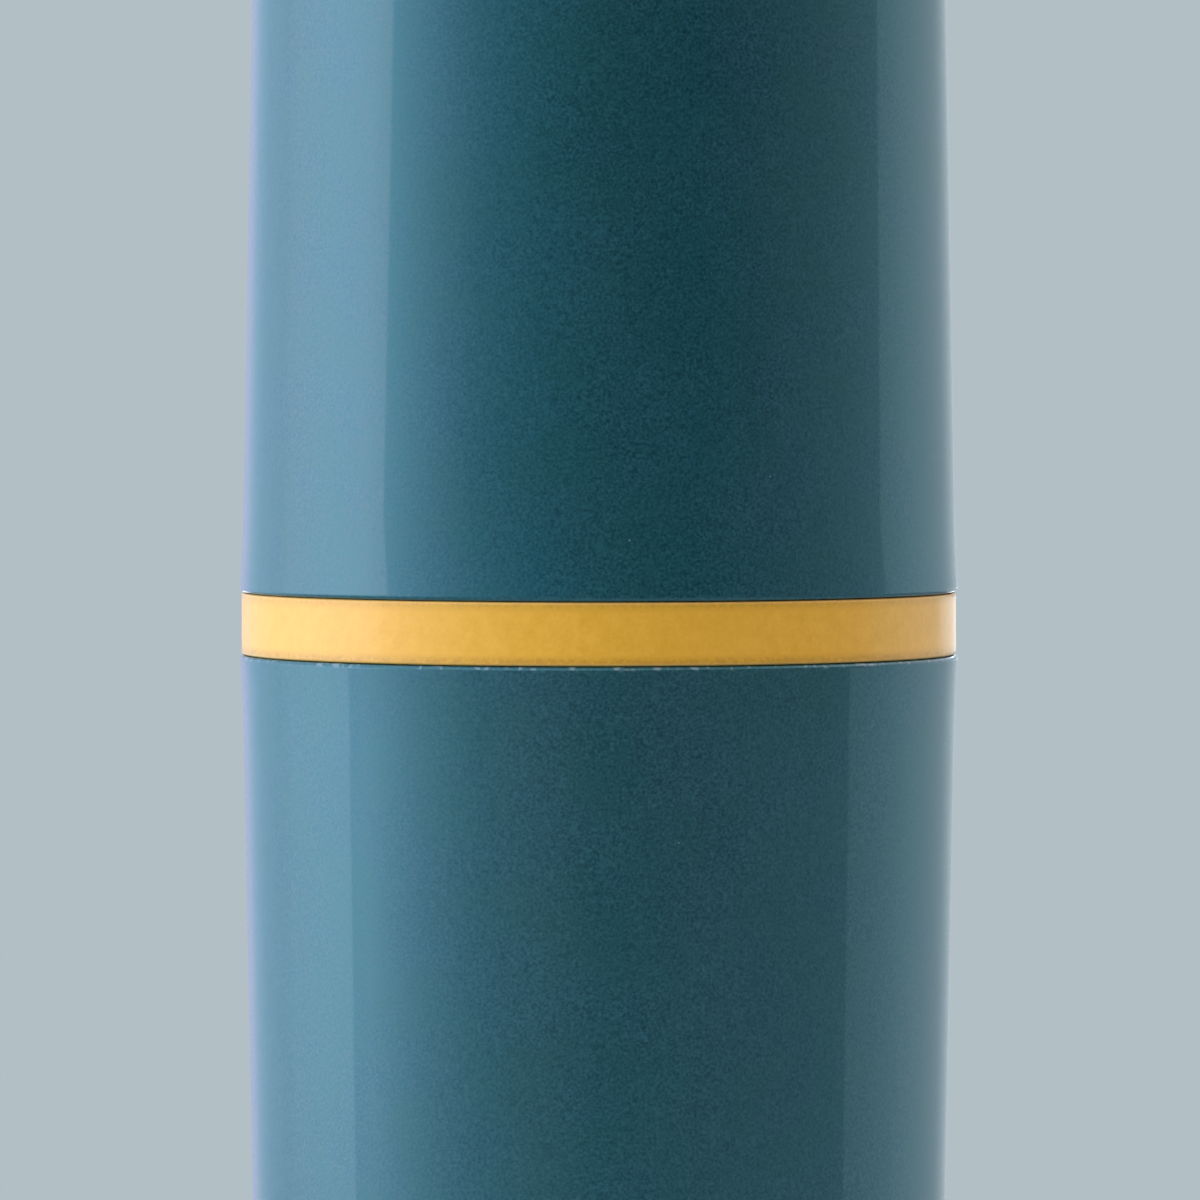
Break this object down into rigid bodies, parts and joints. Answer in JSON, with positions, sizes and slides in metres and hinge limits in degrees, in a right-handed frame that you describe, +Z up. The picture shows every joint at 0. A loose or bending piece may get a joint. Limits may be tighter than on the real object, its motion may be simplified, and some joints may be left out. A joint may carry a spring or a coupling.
{
  "type": "toothbrush mug",
  "caption": "Travel toothbrush mug: two tapered cups joined mouth to mouth on a sealed collar, with a lift-out brush rack and drip tray inside.",
  "frame": {"origin": "centre of the lower foot ring's underside, on the surface that the mug stands on", "axes": "+Z up along the cups' common axis; +X to the right and +Y away from the viewer of the picture"},
  "size_m": [0.07, 0.07, 0.2066],
  "materials": {
    "teal_cup": "satin, fine moulded grain",
    "yellow_plastic": "satin",
    "foot_silicone": "matt silicone",
    "seal_silicone": "satin silicone",
    "white_plastic": "satin"
  },
  "bodies": {
    "lower_cup": {"lower_cup": "teal_cup", "lower_foot_ring": "foot_silicone"},
    "collar": {"collar": "yellow_plastic", "lower_seal": "seal_silicone", "upper_seal": "seal_silicone"},
    "caddy": {"brush_rack": "white_plastic", "caddy_post": "white_plastic", "pull_knob": "yellow_plastic", "drip_tray": "white_plastic"},
    "upper_cup": {"upper_cup": "teal_cup", "upper_foot_ring": "foot_silicone"}
  },
  "joints": [
    {"name": "collar_lift", "type": "slide", "parent": "lower_cup", "child": "collar", "axis": [0, 0, 1], "range_m": [0, 0.105]},
    {"name": "caddy_lift", "type": "slide", "parent": "collar", "child": "caddy", "axis": [0, 0, 1], "range_m": [0, 0.07]},
    {"name": "upper_cup_lift", "type": "slide", "parent": "collar", "child": "upper_cup", "axis": [0, 0, 1], "range_m": [0, 0.1]}
  ]
}
